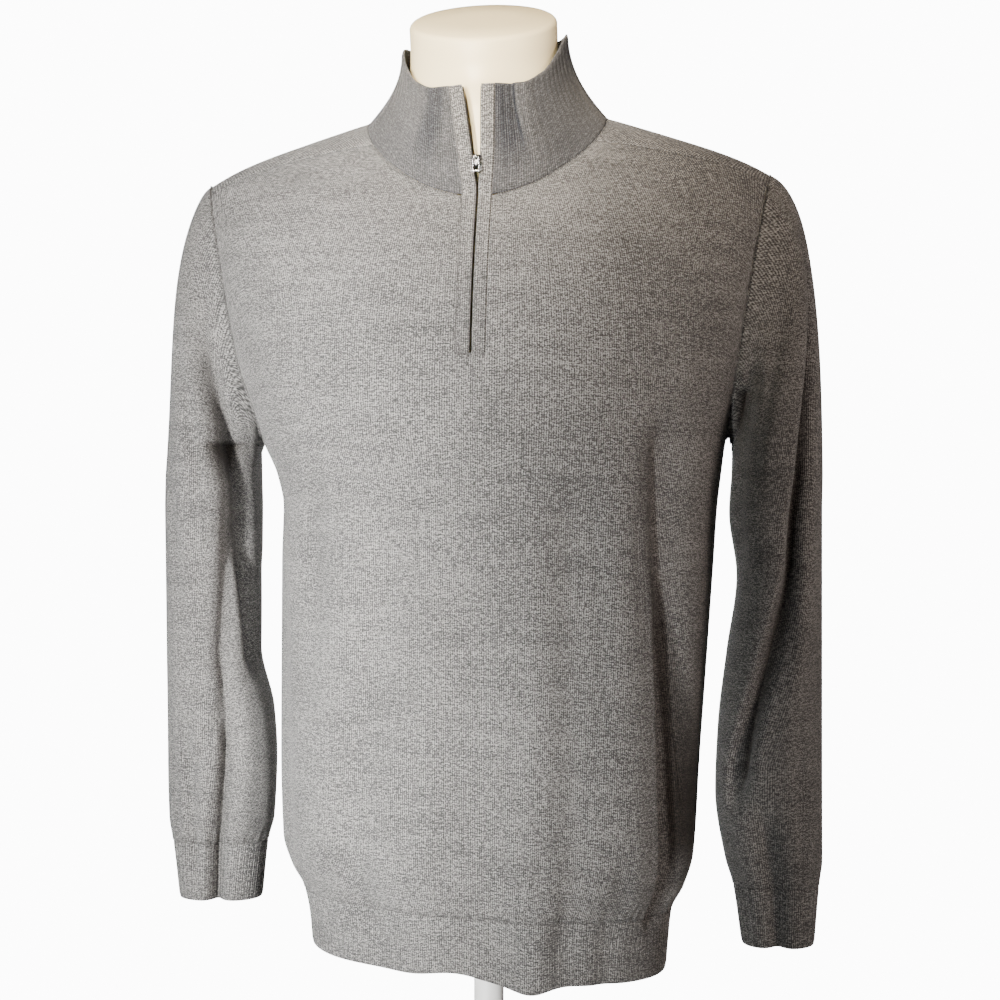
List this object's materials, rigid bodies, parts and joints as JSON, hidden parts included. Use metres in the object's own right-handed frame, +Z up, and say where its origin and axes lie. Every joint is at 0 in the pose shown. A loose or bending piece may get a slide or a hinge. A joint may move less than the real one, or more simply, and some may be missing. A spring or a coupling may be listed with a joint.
{
  "type": "quarter zip sweater on a limbless torso form",
  "caption": "Fine-knit sweater with a ribbed mock collar, a short open zip and empty sleeves, worn by a limbless torso form on a pole and a round base.",
  "frame": {"origin": "middle of the whole's plan outline, on the floor plane under the base", "axes": "+Z up, the zip faces -Y, the wearer's left is towards +X"},
  "size_m": [0.529, 0.3, 1.0229],
  "materials": {
    "knit": "matt heather grey fine knit",
    "zip_tape": "matt dark woven tape",
    "zip_metal": "polished",
    "form_shell": "satin ivory",
    "stand_metal": "satin white coating"
  },
  "bodies": {
    "sweater_on_form": {"front_panel": "knit", "back_panel": "knit", "waistband_front": "knit", "waistband_back": "knit", "sleeve_right": "knit", "sleeve_left": "knit", "cuff_right": "knit", "cuff_left": "knit", "placket_right": "knit", "placket_left": "knit", "collar": "knit", "zip_tape_right": "zip_tape", "zip_tape_left": "zip_tape", "zip_slider": "zip_metal", "torso_form": "form_shell", "stand_pole": "stand_metal", "stand_base": "stand_metal"},
    "pull_tab": {"zip_pull": "zip_metal"}
  },
  "joints": [
    {"name": "pull_swing", "type": "hinge", "parent": "sweater_on_form", "child": "pull_tab", "pos_m": [-0.00248, -0.09108, 0.8824], "axis": [-1, 0, 0], "range_deg": [0, 150]}
  ]
}
